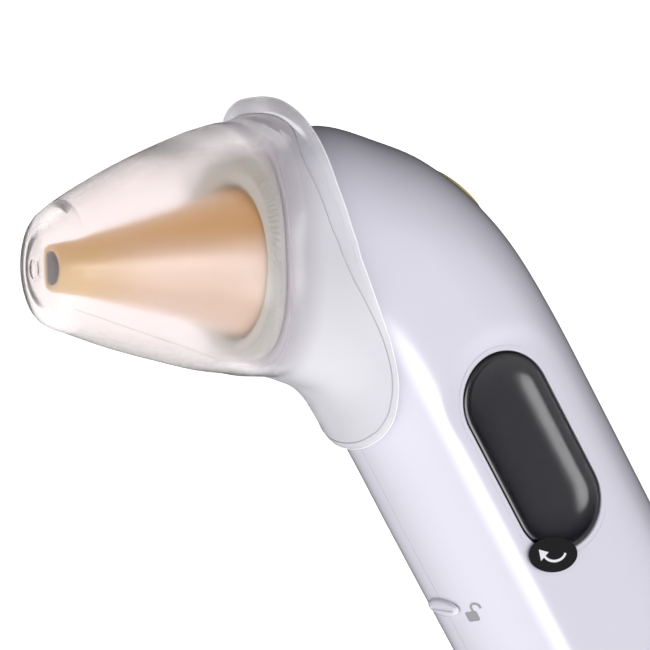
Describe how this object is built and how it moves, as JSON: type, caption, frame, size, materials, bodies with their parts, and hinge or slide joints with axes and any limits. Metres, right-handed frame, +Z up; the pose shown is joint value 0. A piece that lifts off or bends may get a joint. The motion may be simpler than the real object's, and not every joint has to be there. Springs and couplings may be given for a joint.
{
  "type": "digital ear thermometer",
  "caption": "Bent-handle infrared ear thermometer with a side display, a thumb button on the outer bend and a frosted clip-on cap over its amber probe.",
  "frame": {"origin": "centre of the handle on the flat foot that it stands on", "axes": "+Z up the straight part of the handle; the probe leaves the head towards -X and up; the display faces -Y; the button is on the +X side"},
  "size_m": [0.063, 0.0322, 0.15],
  "materials": {
    "white_shell": "polished, cool white",
    "frosted_cap": "frosted translucent, polished near its end",
    "black_lens": "gloss, smoked black",
    "film": "clear film with a gloss black tab",
    "amber_plastic": "translucent amber, satin",
    "silver_ring": "satin silver grey",
    "rim_plastic": "satin, pale grey green",
    "probe_glass": "polished, dark",
    "gold_tube": "gold plated, polished",
    "sensor_metal": "nickel plated",
    "screw_steel": "dark zinc",
    "block_aluminium": "turned, satin",
    "cell_jacket": "printed sleeve, gloss",
    "board_green": "solder mask, satin",
    "black_plastic": "moulded, satin",
    "nut_plastic": "moulded, satin",
    "lcd_glass_finish": "polished, grey green",
    "seal_rubber": "matte black",
    "strip_rubber": "matte pink",
    "flex_film": "amber film",
    "lead_red_skin": "satin",
    "lead_black_skin": "satin"
  },
  "bodies": {
    "case": {"display_side_shell": "white_shell", "plain_side_shell": "white_shell", "display_lens": "black_lens", "probe_cone": "amber_plastic", "button_ring": "silver_ring", "ribbed_ring": "rim_plastic", "probe_window": "probe_glass", "waveguide": "gold_tube", "thermopile": "sensor_metal", "bridge_contact": "sensor_metal", "contact_positive": "sensor_metal", "contact_negative": "sensor_metal", "contact_spring_lower": "sensor_metal", "contact_spring_upper": "sensor_metal", "case_screw_1": "screw_steel", "case_screw_2": "screw_steel", "case_screw_3": "screw_steel", "case_screw_4": "screw_steel", "sensor_block": "block_aluminium", "cell_left": "cell_jacket", "cell_right": "cell_jacket", "main_board": "board_green", "switch_board": "board_green", "microcontroller": "black_plastic", "buzzer": "black_plastic", "switch_body": "black_plastic", "battery_tray": "black_plastic", "probe_nut": "nut_plastic", "lcd_frame": "nut_plastic", "backlight_guide": "nut_plastic", "lcd_glass": "lcd_glass_finish", "lens_gasket": "seal_rubber", "probe_gasket": "seal_rubber", "elastomer_strip_lower": "strip_rubber", "elastomer_strip_upper": "strip_rubber", "sensor_flex": "flex_film", "lead_red": "lead_red_skin", "lead_black": "lead_black_skin"},
    "cap": {"protective_cap": "frosted_cap"},
    "button": {"button_cap": "amber_plastic", "switch_plunger": "black_plastic"},
    "film": {"protective_film": "film"},
    "door": {"battery_door": "white_shell"},
    "lock": {"door_lock_slider": "white_shell"}
  },
  "joints": [
    {"name": "cap_pull", "type": "slide", "parent": "case", "child": "cap", "axis": [-0.8788, 0, 0.4772], "range_m": [0, 0.06]},
    {"name": "button_press", "type": "slide", "parent": "case", "child": "button", "axis": [-0.8988, 0, -0.4384], "range_m": [0, 0.0006], "stiffness_N_per_m": 1500},
    {"name": "film_peel", "type": "slide", "parent": "case", "child": "film", "axis": [0, -1, 0], "range_m": [0, 0.03]},
    {"name": "door_release", "type": "slide", "parent": "case", "child": "door", "axis": [-1, 0, 0], "range_m": [0, 0.025]},
    {"name": "lock_slide", "type": "slide", "parent": "case", "child": "lock", "axis": [0, -1, 0], "range_m": [0, 0.0025]}
  ]
}
